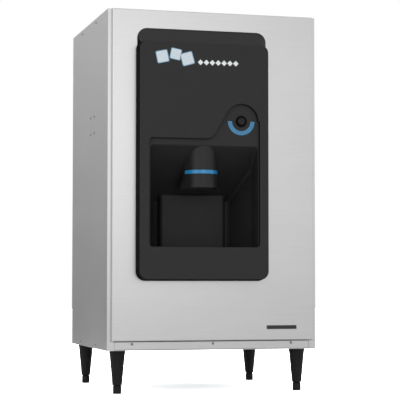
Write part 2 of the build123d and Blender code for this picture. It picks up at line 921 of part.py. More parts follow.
with BuildPart() as switch_bracket:
    arm_low = switch_half_height + seam
    arm_high = arm_low + 2
    with BuildSketch(Plane.YZ.offset(boss_x - 12)):
        for side in (-1, 1):
            with BuildLine():
                Polyline(
                    (barrel_back_y, boss_z + side * 7),
                    (barrel_back_y, boss_z + side * arm_high),
                    (switch_front_y + switch_length, boss_z + side * arm_high),
                    (switch_front_y + switch_length, boss_z + side * arm_low),
                    (barrel_back_y + 2, boss_z + side * arm_low),
                    (barrel_back_y + 2, boss_z + side * 7),
                    close=True,
                )
            make_face()
    extrude(amount=24)
    with BuildSketch(facing(barrel_back_y)):
        with Locations((boss_x, boss_z)):
            Rectangle(34, 2 * arm_high)
            Circle(7, mode=Mode.SUBTRACT)
    extrude(amount=-2)
switch_bracket.part.label = "switch_bracket"
export_step(switch_bracket.part, "parts/switch_bracket.step")

with BuildPart() as button_arc:
    with BuildSketch(facing(plate_y)):
        with Locations((boss_x, boss_z)):
            Circle(arc_outer)
            Circle(arc_inner, mode=Mode.SUBTRACT)
        with Locations((boss_x, boss_z + arc_outer)):
            Rectangle(2 * arc_outer + 2, 2 * arc_outer, mode=Mode.SUBTRACT)
    extrude(amount=arc_thickness)
button_arc.part.label = "button_arc"
export_step(button_arc.part, "parts/button_arc.step")

# Auger line: a plane at the auger's low end, whose own Z runs up along the auger
slope = 1 / sqrt(2)
auger_low = (auger_x, front_y + auger_top_back + auger_length * slope, auger_top_z - auger_length * slope)
auger_plane = Plane(origin=auger_low, x_dir=(1, 0, 0), z_dir=(0, -1, 1))
tube_outer_radius = tube_inner_radius + tube_wall
auger_sum = auger_top_back + auger_top_z
floor_sum = auger_sum - (tube_outer_radius + floor_clearance) * sqrt(2)
foot_difference = (auger_top_back - auger_top_z) + (auger_length + bin_foot_gap) * sqrt(2)

# Upright angle of a plane along the auger, at a given distance from its low end
def across(s):
    return auger_plane.offset(s)


with BuildPart() as auger_tube:
    with BuildSketch(across(0)):
        Circle(tube_outer_radius)
        Circle(tube_inner_radius, mode=Mode.SUBTRACT)
    extrude(amount=auger_length)
    with BuildSketch(across(auger_length)):
        Circle(tube_outer_radius)
        Circle(bearing_radius, mode=Mode.SUBTRACT)
    extrude(amount=-tube_cap)
    with BuildSketch(across(15)):
        with Locations((0, tube_outer_radius)):
            Rectangle(3 * tube_outer_radius, 1.7 * tube_outer_radius)
    extrude(amount=inlet_length, mode=Mode.SUBTRACT)
    discharge_high = auger_length - discharge_start
    with BuildSketch(across(discharge_high - discharge_length)):
        with Locations((0, -tube_outer_radius)):
            Rectangle(2 * discharge_half_width, tube_outer_radius)
    extrude(amount=discharge_length, mode=Mode.SUBTRACT)
auger_tube.part.label = "auger_tube"
export_step(auger_tube.part, "parts/auger_tube.step")

# Bearings: flanged bushes, one in the tube's cap and one in the bin's foot
foot_wall_s = -bin_foot_gap
with BuildPart() as auger_upper_bearing:
    with BuildSketch(across(auger_length)):
        Circle(bearing_radius + 8)
        Circle(auger_shaft_radius + running_play, mode=Mode.SUBTRACT)
    extrude(amount=3)
    with BuildSketch(across(auger_length)):
        Circle(bearing_radius - thread_play)
        Circle(auger_shaft_radius + running_play, mode=Mode.SUBTRACT)
    extrude(amount=-tube_cap)
auger_upper_bearing.part.label = "auger_upper_bearing"
export_step(auger_upper_bearing.part, "parts/auger_upper_bearing.step")

bearing_flange_s = foot_wall_s - bin_wall
with BuildPart() as auger_lower_bearing:
    with BuildSketch(across(bearing_flange_s)):
        Circle(bearing_radius + 12)
        Circle(auger_shaft_radius + running_play, mode=Mode.SUBTRACT)
    extrude(amount=-3)
    with BuildSketch(across(bearing_flange_s)):
        Circle(bearing_radius - thread_play)
        Circle(auger_shaft_radius + running_play, mode=Mode.SUBTRACT)
    extrude(amount=bin_wall + 6)
auger_lower_bearing.part.label = "auger_lower_bearing"
export_step(auger_lower_bearing.part, "parts/auger_lower_bearing.step")

# Auger: a shaft with one helical flight
bracket_s = bearing_flange_s - 3
gearbox_s = bracket_s - 4
shaft_low_s = gearbox_s - 44
flight_start = 16
flight_end_gap = 50
auger_turns = int((auger_length - flight_start - flight_end_gap) / auger_pitch)
with BuildPart() as flight:
    with BuildLine() as spiral:
        Helix(pitch=auger_pitch, height=auger_pitch * auger_turns, radius=auger_shaft_radius)
    with BuildSketch(Plane(origin=spiral.line @ 0, x_dir=(1, 0, 0), z_dir=spiral.line % 0)):
        with Locations(((auger_flight_radius - auger_shaft_radius) / 2 - 0.5, 0)):
            Rectangle(auger_flight_radius - auger_shaft_radius + 1, auger_blade)
    sweep(is_frenet=True)
with BuildPart() as auger:
    add(flight.part.moved(across(flight_start).location))
    with BuildSketch(across(shaft_low_s)):
        Circle(auger_shaft_radius)
    extrude(amount=auger_length - shaft_low_s)
auger.part.label = "auger"
export_step(auger.part, "parts/auger.step")

# Auger gear motor: a square gearbox under the bin's foot, with its motor to the right
gearbox_half = 45
gearbox_length = 84
gearbox_corner = 10
gearbox_bore_depth = 48
motor_radius = 38
motor_length = 118
motor_collar = 8
motor_back = 46
bracket_thickness = 4
bracket_ear = 20
with BuildPart() as motor_bracket:
    with BuildSketch(across(bracket_s)):
        RectangleRounded(2 * (gearbox_half + bracket_ear), 2 * gearbox_half + 10, 6)
        Circle(auger_shaft_radius + 3, mode=Mode.SUBTRACT)
    extrude(amount=-bracket_thickness)
motor_bracket.part.label = "motor_bracket"
export_step(motor_bracket.part, "parts/motor_bracket.step")

with BuildPart() as auger_gear_motor:
    with BuildSketch(across(gearbox_s)):
        RectangleRounded(2 * gearbox_half, 2 * gearbox_half, gearbox_corner)
    extrude(amount=-gearbox_length)
    motor_centre = auger_plane.from_local_coords((gearbox_half, 0, gearbox_s - motor_back))
    motor_end = Plane(origin=motor_centre, z_dir=(1, 0, 0))
    with BuildSketch(motor_end.offset(-5)):
        Circle(motor_radius - 10)
    extrude(amount=17)
    with BuildSketch(motor_end.offset(motor_collar)):
        Circle(motor_radius)
    extrude(amount=motor_length)
    fillet(auger_gear_motor.edges().group_by(Axis.X)[-1], 6)
    with BuildSketch(across(gearbox_s)):
        Circle(auger_shaft_radius + running_play)
    extrude(amount=-gearbox_bore_depth, mode=Mode.SUBTRACT)
auger_gear_motor.part.label = "auger_gear_motor"
export_step(auger_gear_motor.part, "parts/auger_gear_motor.step")

# Bin: walls that fall to the auger's low end, made from its side profile and its funnel
floor_knee_z = floor_sum - bin_step_back


def bin_form(grow):
    with BuildPart() as form:
        with BuildSketch(Plane.YZ.offset(-half_width)):
            with BuildLine():
                Polyline(
                    (front_y + bin_front, top_z + 20),
                    (front_y + bin_front, bin_shelf_z),
                    (front_y + bin_step_back, bin_step_z),
                    (front_y + bin_step_back, floor_knee_z),
                    (front_y + floor_sum - bin_low, bin_low),
                    (front_y + bin_low + foot_difference, bin_low),
                    (front_y + bin_foot_back, bin_foot_back - foot_difference),
                    (front_y + bin_back, bin_rear_knee_z),
                    (front_y + bin_back, top_z + 20),
                    close=True,
                )
            make_face()
            if grow:
                offset(amount=grow, kind=Kind.INTERSECTION)
        extrude(amount=2 * half_width)
        with BuildSketch(facing(back_y)):
            with BuildLine():
                Polyline(
                    (-bin_half_width, top_z + 20),
                    (-bin_half_width, funnel_z),
                    (auger_x - funnel_half_width, bin_low),
                    (auger_x + funnel_half_width, bin_low),
                    (bin_half_width, funnel_z),
                    (bin_half_width, top_z + 20),
                    close=True,
                )
            make_face()
            if grow:
                offset(amount=grow, kind=Kind.INTERSECTION)
        extrude(amount=cabinet_depth, mode=Mode.INTERSECT)
    return form.part


bin_outer = bin_form(bin_wall)
agitator_back_y = front_y + bin_back
with BuildPart() as bin_shell:
    add(bin_outer)
    add(bin_form(0), mode=Mode.SUBTRACT)
    block((-half_width, half_width), (front_y, back_y), (side_top_z, top_z + 60), Mode.SUBTRACT)
    with BuildSketch(across(auger_length / 2)):
        Circle(tube_outer_radius + seam)
    extrude(amount=auger_length, mode=Mode.SUBTRACT)
    with BuildSketch(across(0)):
        Circle(bearing_radius)
    extrude(amount=2 * foot_wall_s - 2 * bin_wall, mode=Mode.SUBTRACT)
    with BuildSketch(facing(front_y)):
        with Locations((agitator_x, agitator_z)):
            Circle(agitator_shaft_radius + 8)
    extrude(amount=-(bin_step_back + 2), mode=Mode.SUBTRACT)
    with Locations((pipe_x, bin_drain_y, bin_low)):
        Cylinder(tube_bore, 4 * bin_wall, mode=Mode.SUBTRACT)
bin_shell.part.label = "bin"
export_step(bin_shell.part, "parts/bin.step")

# Agitator: a shaft across the bin from front to back, with crossed arms
with BuildPart() as agitator:
    with BuildSketch(facing(agitator_back_y - 4)):
        with Locations((agitator_x, agitator_z)):
            Circle(agitator_shaft_radius)
    extrude(amount=bin_back - 4 - 62)
    for k in range(agitator_arms):
        arm_y = front_y + agitator_first_arm + k * agitator_arm_step
        tilt = 0 if k % 2 else 90
        with Locations(Location((agitator_x, arm_y, agitator_z), (0, tilt, 0))):
            Cylinder(agitator_arm_radius, 2 * agitator_reach)
agitator.part.label = "agitator"
export_step(agitator.part, "parts/agitator.step")

bush_outer = agitator_shaft_radius + 8
bush_flange = 3
front_bush_y = front_y + bin_step_back - bin_wall
with BuildPart() as agitator_bushes:
    for flange_y in (front_bush_y, agitator_back_y):
        with BuildSketch(facing(flange_y)):
            with Locations((agitator_x, agitator_z)):
                Circle(bush_outer + 8)
                Circle(agitator_shaft_radius + running_play, mode=Mode.SUBTRACT)
        extrude(amount=bush_flange)
    with BuildSketch(facing(front_bush_y + bin_wall + 5)):
        with Locations((agitator_x, agitator_z)):
            Circle(bush_outer - thread_play)
            Circle(agitator_shaft_radius + running_play, mode=Mode.SUBTRACT)
    extrude(amount=bin_wall + 5)
    with BuildSketch(facing(agitator_back_y)):
        with Locations((agitator_x, agitator_z)):
            Circle(bush_outer - 3)
            Circle(agitator_shaft_radius + running_play, mode=Mode.SUBTRACT)
    extrude(amount=14)
agitator_bushes.part.label = "agitator_bushes"
export_step(agitator_bushes.part, "parts/agitator_bushes.step")

with BuildPart() as agitator_gear_motor:
    gearbox_back = front_bush_y - bush_flange
    block(
        (agitator_x - 38, agitator_x + 38),
        (gearbox_back - 60, gearbox_back),
        (agitator_z - 42, agitator_z + 38),
    )
    fillet(agitator_gear_motor.edges().filter_by(Axis.Y), 8)
    with BuildSketch(Plane.YZ.offset(agitator_x + 38)):
        with Locations((gearbox_back - 32, agitator_z)):
            Circle(28)
    extrude(amount=84)
    fillet(agitator_gear_motor.edges().group_by(Axis.X)[-1], 5)
    with BuildSketch(facing(gearbox_back)):
        with Locations((agitator_x, agitator_z)):
            Circle(agitator_shaft_radius + running_play)
    extrude(amount=40, mode=Mode.SUBTRACT)
agitator_gear_motor.part.label = "agitator_gear_motor"
export_step(agitator_gear_motor.part, "parts/agitator_gear_motor.step")

# Drop chute: a duct from the auger tube's discharge to the throat in the recess's ceiling
hinge_y = front_y + flap_hinge_back
ceiling_sum = ceiling_front_z + plate_y + (liner_wall + seam) * sqrt(2)
chute_x = (spout_x - chute_half_width, spout_x + chute_half_width)
chute_y = (throat_front, throat_back)
with BuildPart() as drop_chute:
    block(chute_x, chute_y, (spout_skirt_z - 40, chute_top))
    block(
        (chute_x[0] + chute_wall, chute_x[1] - chute_wall),
        (chute_y[0] + chute_wall, chute_y[1] - chute_wall),
        (spout_skirt_z - 41, chute_top - chute_wall),
        Mode.SUBTRACT,
    )
    with BuildSketch(across(auger_length / 2)):
        Circle(tube_outer_radius + seam)
    extrude(amount=auger_length, mode=Mode.SUBTRACT)
    with BuildSketch(Plane.YZ.offset(chute_x[0])):
        with BuildLine():
            Polyline(
                (chute_y[0], spout_skirt_z - 80),
                (chute_y[0], ceiling_sum - chute_y[0]),
                (chute_y[1], ceiling_sum - chute_y[1]),
                (chute_y[1], spout_skirt_z - 80),
                close=True,
            )
        make_face()
    extrude(amount=2 * chute_half_width, mode=Mode.SUBTRACT)
    with BuildSketch(Plane.YZ.offset(chute_x[0] - 1)):
        with Locations((hinge_y, flap_hinge_z)):
            Circle(flap_pin_radius + running_play)
    extrude(amount=2 * chute_half_width + 2, mode=Mode.SUBTRACT)
drop_chute.part.label = "drop_chute"
export_step(drop_chute.part, "parts/drop_chute.step")

# Flap door: a plate on a barrel, shut at 45 degrees across the chute, that swings down to open
flap_plane = Plane(origin=(spout_x, hinge_y, flap_hinge_z), x_dir=(1, 0, 0), z_dir=(0, 1, 1))
with BuildPart() as flap_door:
    with BuildSketch(flap_plane.offset(-flap_thickness / 2)):
        with Locations((0, flap_length / 2)):
            Rectangle(2 * flap_half_width, flap_length)
    extrude(amount=flap_thickness)
    with BuildSketch(Plane.YZ.offset(spout_x - flap_half_width)):
        with Locations((hinge_y, flap_hinge_z)):
            Circle(flap_barrel_radius)
    extrude(amount=2 * flap_half_width)
    with BuildSketch(Plane.YZ.offset(chute_x[0])):
        with Locations((hinge_y, flap_hinge_z)):
            Circle(flap_pin_radius + thread_play)
    extrude(amount=2 * chute_half_width, mode=Mode.SUBTRACT)
flap_door.part.label = "flap_door"
export_step(flap_door.part, "parts/flap_door.step")

# Flap shaft: a pin with a crank on its end, whose slot is worked by the solenoid's plunger
half_swing = radians(flap_swing / 2)
plunger_y = hinge_y - crank_length * tan(half_swing)
plunger_z = flap_hinge_z + crank_length
crank_plane = Plane(
    origin=(crank_x - crank_thickness / 2, hinge_y, flap_hinge_z),
    x_dir=(0, -sin(half_swing), cos(half_swing)),
    z_dir=(1, 0, 0),
)
with BuildPart() as flap_shaft:
    with BuildSketch(Plane.YZ.offset(chute_x[0] - 4)):
        with Locations((hinge_y, flap_hinge_z)):
            Circle(flap_pin_radius)
    extrude(amount=crank_x - chute_x[0] + 4)
    with BuildSketch(crank_plane):
        with Locations((crank_length / 2 + 2, 0)):
            SlotCenterToCenter(crank_length + 4, 15)
        with Locations((crank_length + 1, 0)):
            SlotCenterToCenter(4, 2 * plunger_pin_radius + 1.4, mode=Mode.SUBTRACT)
    extrude(amount=crank_thickness)
flap_shaft.part.label = "flap_shaft"
export_step(flap_shaft.part, "parts/flap_shaft.step")

# Solenoid: its body on a bracket beside the chute, and a forked plunger
body_y = front_y + solenoid_back
fork_depth = 15
with BuildPart() as solenoid_plunger:
    with BuildSketch(facing(body_y + 22)):
        with Locations((crank_x, plunger_z)):
            Circle(plunger_radius)
    extrude(amount=body_y + 22 - plunger_y + 7)
    block(
        (crank_x - crank_thickness / 2 - seam, crank_x + crank_thickness / 2 + seam),
        (plunger_y - 8, plunger_y + fork_depth),
        (plunger_z - 2 * plunger_radius, plunger_z + 2 * plunger_radius),
        Mode.SUBTRACT,
    )
    with BuildSketch(Plane.YZ.offset(crank_x - plunger_radius)):
        with Locations((plunger_y, plunger_z)):
            Circle(plunger_pin_radius)
    extrude(amount=2 * plunger_radius)
solenoid_plunger.part.label = "solenoid_plunger"
export_step(solenoid_plunger.part, "parts/solenoid_plunger.step")

with BuildPart() as solenoid:
    block(
        (crank_x - solenoid_width / 2, crank_x + solenoid_width / 2),
        (body_y, body_y + solenoid_length),
        (plunger_z - solenoid_width / 2, plunger_z + solenoid_width / 2),
    )
    with BuildSketch(facing(body_y)):
        with Locations((crank_x, plunger_z)):
            Circle(plunger_radius + running_play)
    extrude(amount=-(solenoid_length - 2), mode=Mode.SUBTRACT)
solenoid.part.label = "solenoid"
export_step(solenoid.part, "parts/solenoid.step")

bracket_z = plunger_z - solenoid_width / 2
with BuildPart() as solenoid_bracket:
    block((chute_x[1], crank_x + solenoid_width / 2), (body_y, body_y + 10), (bracket_z - 2, bracket_z))
    block((chute_x[1], chute_x[1] + 2), (hinge_y + 8, body_y + 10), (bracket_z - 30, bracket_z))
solenoid_bracket.part.label = "solenoid_bracket"
export_step(solenoid_bracket.part, "parts/solenoid_bracket.step")

# Rear panel: a plate inside the side panels' rear flanges, with louvres low down
pipe_clear = pipe_radius + 0.5
inlet_x = -280
inlet_z = 262
inlet_bore = 11
inlet_barrel = 13.5
louvre_width = 90
louvre_height = 6
louvre_gap = 30
louvre_pitch = 22
louvre_x = 150
louvre_z = 470
with BuildPart() as rear_panel:
    with BuildSketch(facing(rear_y)):
        with Locations((0, (base_z + side_top_z) / 2)):
            Rectangle(2 * inner_half_width, side_top_z - base_z - 2 * sheet - 2 * seam)
        with Locations((pipe_x, pipe_z)):
            Circle(pipe_clear, mode=Mode.SUBTRACT)
        with Locations((inlet_x, inlet_z)):
            Circle(inlet_barrel + seam, mode=Mode.SUBTRACT)
        with Locations(*[(side * rear_screw_x, z) for side in (-1, 1) for z in rear_screw_zs]):
            Circle(screw_hole_radius, mode=Mode.SUBTRACT)
        with Locations((louvre_x, louvre_z)):
            with GridLocations(louvre_width + louvre_gap, louvre_pitch, 2, 8):
                SlotOverall(louvre_width, louvre_height, mode=Mode.SUBTRACT)
    extrude(amount=sheet)
rear_panel.part.label = "rear_panel"
export_step(rear_panel.part, "parts/rear_panel.step")

# Pan-head screws: side panels, base rail and rear panel
with BuildPart() as panel_screws:
    for y, z in side_screw_places + bracket_screw_places:
        screw_at(Plane(origin=(half_width, front_y + y, z), x_dir=(0, 1, 0), z_dir=(1, 0, 0)))
        screw_at(Plane(origin=(-half_width, front_y + y, z), x_dir=(0, 1, 0), z_dir=(-1, 0, 0)))
    for x in rail_screw_xs:
        screw_at(Plane(origin=(x, front_y, rail_screw_z), x_dir=(1, 0, 0), z_dir=(0, -1, 0)), sheet + seam)
    for side in (-1, 1):
        for z in rear_screw_zs:
            screw_at(Plane(origin=(side * rear_screw_x, back_y, z), x_dir=(-1, 0, 0), z_dir=(0, 1, 0)))
panel_screws.part.label = "panel_screws"
export_step(panel_screws.part, "parts/panel_screws.step")

with BuildPart() as inlet_bushing:
    with BuildSketch(facing(rear_y)):
        with Locations((inlet_x, inlet_z)):
            Circle(inlet_barrel + 4)
            Circle(inlet_bore, mode=Mode.SUBTRACT)
    extrude(amount=-3)
    with BuildSketch(facing(rear_y)):
        with Locations((inlet_x, inlet_z)):
            Circle(inlet_barrel)
            Circle(inlet_bore, mode=Mode.SUBTRACT)
    extrude(amount=10)
inlet_bushing.part.label = "inlet_bushing"
export_step(inlet_bushing.part, "parts/inlet_bushing.step")

# Top frame: a plate over the side panels, with a lipped drop opening for the ice maker
with BuildPart() as top_frame:
    with BuildSketch(Plane.XY.offset(side_top_z)):
        with Locations((0, middle_y)):
            Rectangle(cabinet_width, cabinet_depth)
            RectangleRounded(drop_width, drop_depth, drop_radius, mode=Mode.SUBTRACT)
            with GridLocations(ice_maker_bolt_span_x, ice_maker_bolt_span_y, 2, 2):
                Circle(ice_maker_bolt_radius, mode=Mode.SUBTRACT)
    extrude(amount=top_plate)
    with BuildSketch(Plane.XY.offset(side_top_z)):
        with Locations((0, middle_y)):
            RectangleRounded(drop_width + 2 * sheet, drop_depth + 2 * sheet, drop_radius + sheet)
            RectangleRounded(drop_width, drop_depth, drop_radius, mode=Mode.SUBTRACT)
    extrude(amount=-drop_lip)
top_frame.part.label = "top_frame"
export_step(top_frame.part, "parts/top_frame.step")

with BuildPart() as ice_maker_gasket:
    with BuildSketch(Plane.XY.offset(top_z)):
        with Locations((0, middle_y)):
            RectangleRounded(
                drop_width + 2 * gasket_width,
                drop_depth + 2 * gasket_width,
                drop_radius + gasket_width,
            )
            RectangleRounded(
                drop_width + 2 * gasket_edge,
                drop_depth + 2 * gasket_edge,
                drop_radius,
                mode=Mode.SUBTRACT,
            )
    extrude(amount=gasket_height)
ice_maker_gasket.part.label = "ice_maker_gasket"
export_step(ice_maker_gasket.part, "parts/ice_maker_gasket.step")

# Insulation boards between the bin and the panels
board_low = rail_top + seam
board_inner = bin_half_width + bin_wall
with BuildPart() as side_insulation:
    for side in (-1, 1):
        block(
            sorted((side * board_inner, side * inner_half_width)),
            (front_y + sheet + seam, front_y + bin_back + bin_wall),
            (board_low, side_top_z - sheet - seam),
        )
    with BuildSketch(Plane.YZ.offset(-half_width)):
        with Locations(*[(front_y + y, z) for y, z in side_screw_places[:2] + bracket_screw_places]):
            Circle(screw_hole_radius)
    extrude(amount=2 * half_width, mode=Mode.SUBTRACT)
side_insulation.part.label = "side_insulation"
export_step(side_insulation.part, "parts/side_insulation.step")

with BuildPart() as end_insulation:
    block(
        (-board_inner, board_inner),
        (front_y + bin_back + bin_wall, rear_y - sheet),
        (bin_rear_knee_z, side_top_z - sheet - seam),
    )
    block(
        (-board_inner, board_inner),
        (panel_y + sheet, front_y + bin_front - bin_wall),
        (bin_shelf_z, side_top_z - sheet - seam),
    )
end_insulation.part.label = "end_insulation"
export_step(end_insulation.part, "parts/end_insulation.step")

# Bin stand: two upright plates with foot flanges, cut to the bin's funnel
stand_ys = (bin_foot_back - 255, bin_foot_back - 135)
stand_plate = 3
stand_foot = 30
stand_top = funnel_z - 30
stand_half_width = board_inner - 25
with BuildPart() as bin_stand:
    for y in stand_ys:
        plate_front = front_y + y
        block(
            (-stand_half_width, stand_half_width),
            (plate_front, plate_front + stand_plate),
            (base_z + base_sheet, stand_top),
        )
        block(
            (-stand_half_width, stand_half_width),
            (plate_front - stand_foot, plate_front),
            (base_z + base_sheet, base_z + base_sheet + stand_plate),
        )
    add(bin_outer, mode=Mode.SUBTRACT)
    with BuildSketch(facing(back_y)):
        with Locations((pipe_x, pipe_z)):
            Circle(pipe_clear)
    extrude(amount=cabinet_depth, mode=Mode.SUBTRACT)
bin_stand.part.label = "bin_stand"
export_step(bin_stand.part, "parts/bin_stand.step")

# Control box on the bin's front wall, left of the chute, with what it holds
box_edge = 49
box_width = 182
box_low = 868
box_height = 250
box_depth = 74
box_x = (box_edge - half_width, box_edge - half_width + box_width)
box_z = (box_low, box_low + box_height)
box_back_y = front_y + bin_step_back - bin_wall
box_front_y = box_back_y - box_depth
with BuildPart() as control_box:
    block(box_x, (box_front_y, box_back_y), box_z)
    offset(amount=-sheet, openings=control_box.faces().sort_by(Axis.Y)[0])
control_box.part.label = "control_box"
export_step(control_box.part, "parts/control_box.step")

with BuildPart() as control_box_cover:
    lip = 2 * sheet + seam
    block(
        (box_x[0] - lip, box_x[1] + lip),
        (box_front_y - sheet, box_front_y + 12),
        (box_z[0] - lip, box_z[1] + lip),
    )
    block(
        (box_x[0] - lip + sheet, box_x[1] + lip - sheet),
        (box_front_y, box_front_y + 13),
        (box_z[0] - lip + sheet, box_z[1] + lip - sheet),
        Mode.SUBTRACT,
    )
control_box_cover.part.label = "control_box_cover"
export_step(control_box_cover.part, "parts/control_box_cover.step")

board_x = (box_x[0] + 14, box_x[1] - 16)
board_z = (box_z[1] - 158, box_z[1] - 18)
board_thickness = 2
post_height = 6
post_inset = 10
relay_depth = 20
relay_step = 30
relays = 4
board_back_y = box_back_y - sheet - post_height
board_front_y = board_back_y - board_thickness
with BuildPart() as control_board:
    block(board_x, (board_front_y, board_back_y), board_z)
    for x in (board_x[0] + post_inset, board_x[1] - post_inset):
        for z in (board_z[0] + post_inset, board_z[1] - post_inset):
            with Locations((x, board_back_y + post_height / 2, z)):
                Box(8, post_height, 8)
    for k in range(relays):
        relay_x = board_x[0] + 28 + k * relay_step
        with Locations((relay_x, board_front_y - relay_depth / 2, board_z[1] - 30)):
            Box(20, relay_depth, 26)
control_board.part.label = "control_board"
export_step(control_board.part, "parts/control_board.step")

# Bin level sensor: a head on the bin's front wall with a probe across the ice
sensor_x = 131 - half_width
sensor_z = top_z - 61
sensor_half = 22
sensor_depth = 16
probe_radius = 5
probe_length = 190
with BuildPart() as level_sensor:
    wall_y = front_y + bin_front
    block(
        (sensor_x - sensor_half, sensor_x + sensor_half),
        (wall_y, wall_y + sensor_depth),
        (sensor_z - sensor_half, sensor_z + sensor_half),
    )
    with BuildSketch(facing(wall_y + sensor_depth)):
        with Locations((sensor_x, sensor_z)):
            Circle(probe_radius)
    extrude(amount=-probe_length)
    fillet(level_sensor.edges().group_by(Axis.Y)[-1], 3)
level_sensor.part.label = "level_sensor"
export_step(level_sensor.part, "parts/level_sensor.step")
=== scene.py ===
import json
import math
import bpy
import bmesh
from mathutils import Matrix, Vector

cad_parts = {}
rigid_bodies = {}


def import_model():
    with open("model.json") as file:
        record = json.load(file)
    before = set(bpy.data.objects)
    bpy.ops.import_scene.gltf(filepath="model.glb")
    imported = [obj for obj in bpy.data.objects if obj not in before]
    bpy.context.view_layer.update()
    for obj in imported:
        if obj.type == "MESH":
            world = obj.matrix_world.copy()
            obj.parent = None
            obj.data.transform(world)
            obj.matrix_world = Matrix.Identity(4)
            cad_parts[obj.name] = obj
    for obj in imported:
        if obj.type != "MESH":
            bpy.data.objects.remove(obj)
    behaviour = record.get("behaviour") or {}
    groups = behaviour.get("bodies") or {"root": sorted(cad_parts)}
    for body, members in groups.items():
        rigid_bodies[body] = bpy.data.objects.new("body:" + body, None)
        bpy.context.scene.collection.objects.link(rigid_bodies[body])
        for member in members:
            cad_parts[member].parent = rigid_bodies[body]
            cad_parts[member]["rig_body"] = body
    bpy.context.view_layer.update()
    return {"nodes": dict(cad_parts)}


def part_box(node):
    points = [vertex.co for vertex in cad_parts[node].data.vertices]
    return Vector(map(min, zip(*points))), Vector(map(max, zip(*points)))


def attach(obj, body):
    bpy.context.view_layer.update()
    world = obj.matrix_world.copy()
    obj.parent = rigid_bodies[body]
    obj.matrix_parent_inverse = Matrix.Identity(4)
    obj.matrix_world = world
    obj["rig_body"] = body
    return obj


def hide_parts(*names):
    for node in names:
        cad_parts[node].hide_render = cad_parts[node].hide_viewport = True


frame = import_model()
nodes = frame["nodes"]
print("frame loaded:", len(nodes), "nodes")


# sRGB hex to the linear colour that a shader reads
def hexColour(code):
    values = [int(code[k:k + 2], 16) / 255 for k in (1, 3, 5)]
    linear = [v / 12.92 if v <= 0.04045 else ((v + 0.055) / 1.055) ** 2.4 for v in values]
    return (*linear, 1.0)


# One shader node: settings are properties or input values, links are the sockets that feed it
def addNode(tree, kind, settings=None, links=None):
    node = tree.nodes.new(kind)
    for key, value in (settings or {}).items():
        if isinstance(key, str) and hasattr(node, key):
            setattr(node, key, value)
        else:
            node.inputs[key].default_value = value
    for key, source in (links or {}).items():
        tree.links.new(source, node.inputs[key])
    return node


# A new material with its tree and its shader
def emptyMaterial(name):
    material = bpy.data.materials.new(name)
    material.use_nodes = True
    tree = material.node_tree
    return material, tree, tree.nodes["Principled BSDF"]


# A material with its own colour and gloss, and its Object coordinates ready for patterns
def newMaterial(name, colour, roughness, metallic=0.0, **shaderValues):
    material, tree, shader = emptyMaterial(name)
    shader.inputs["Base Color"].default_value = hexColour(colour)
    shader.inputs["Roughness"].default_value = roughness
    shader.inputs["Metallic"].default_value = metallic
    for key, value in shaderValues.items():
        shader.inputs[key.replace("_", " ")].default_value = value
    place = addNode(tree, "ShaderNodeTexCoord").outputs["Object"]
    return material, tree, shader, place


# A noise stretched by a scale along each axis, in cells per metre
def stretchedNoise(tree, place, scale, detail=3.0, rough=0.5):
    mapping = addNode(tree, "ShaderNodeMapping", {"Scale": scale}, {"Vector": place})
    settings = {"Scale": 1.0, "Detail": detail, "Roughness": rough}
    return addNode(tree, "ShaderNodeTexNoise", settings, {"Vector": mapping.outputs[0]}).outputs["Fac"]


# Most of a pattern lies between these two values, so they are spread to the ends of its range
patternSpan = {"From Min": 0.25, "From Max": 0.75}


def varyRoughness(tree, shader, pattern, low, high):
    settings = {**patternSpan, "To Min": low, "To Max": high}
    ramp = addNode(tree, "ShaderNodeMapRange", settings, {"Value": pattern})
    tree.links.new(ramp.outputs[0], shader.inputs["Roughness"])


# Sockets 6 and 7 of a Mix node are its two colours, and output 2 is the mixed one
def varyColour(tree, shader, pattern, dark, light):
    ramp = addNode(tree, "ShaderNodeMapRange", patternSpan, {"Value": pattern})
    settings = {"data_type": "RGBA", 6: hexColour(dark), 7: hexColour(light)}
    mix = addNode(tree, "ShaderNodeMix", settings, {0: ramp.outputs[0]})
    tree.links.new(mix.outputs[2], shader.inputs["Base Color"])


# A pattern as relief, with its height in metres
def addBump(tree, shader, pattern, height, strength=1.0):
    settings = {"Strength": strength, "Distance": height}
    bump = addNode(tree, "ShaderNodeBump", settings, {"Height": pattern})
    tree.links.new(bump.outputs[0], shader.inputs["Normal"])


# A surface whose colour and roughness drift together in soft clouds, by the numbers of its skin
def cloudSurface(tree, shader, place, skin, shade, colour, roughness):
    cloud = stretchedNoise(tree, place, **skin["cloud"])
    varyColour(tree, shader, cloud, shade, colour)
    smoother, duller = skin["swing"]
    varyRoughness(tree, shader, cloud, roughness - smoother, roughness + duller)
    return cloud


# Stainless sheet, No. 4 finish: a level grain of belt marks with a soft, drawn-out sheen
# A real belt mark is 0.1 mm wide, too fine to show, so the grain is drawn 1.6 mm wide
beltGrain = {
    "marks": {"scale": (5, 5, 620), "detail": 4.0, "rough": 0.6}, "marksShare": 0.6,
    "patches": {"scale": (2.4, 2.4, 5), "detail": 2.0}, "patchesShare": 0.4,
    "swing": 0.05, "height": 0.00004,
}


def brushedStainless(name, dark, light, roughness):
    material, tree, shader, place = newMaterial(name, light, roughness, 1.0)
    marks = stretchedNoise(tree, place, **beltGrain["marks"])
    patches = stretchedNoise(tree, place, **beltGrain["patches"])
    settings = {"operation": "MULTIPLY", 1: beltGrain["patchesShare"]}
    share = addNode(tree, "ShaderNodeMath", settings, {0: patches})
    settings = {"operation": "MULTIPLY_ADD", 1: beltGrain["marksShare"]}
    both = addNode(tree, "ShaderNodeMath", settings, {0: marks, 2: share.outputs[0]}).outputs[0]
    varyColour(tree, shader, both, dark, light)
    varyRoughness(tree, shader, both, roughness - beltGrain["swing"], roughness + beltGrain["swing"])
    addBump(tree, shader, marks, beltGrain["height"])
    return material


# Galvanised sheet: zinc crystals about 12 mm across, each with its own grey and its own sheen
zincCrystals = {"perMetre": 85.0, "dark": "#a0a4a6", "light": "#afb2b4", "roughness": (0.42, 0.5)}


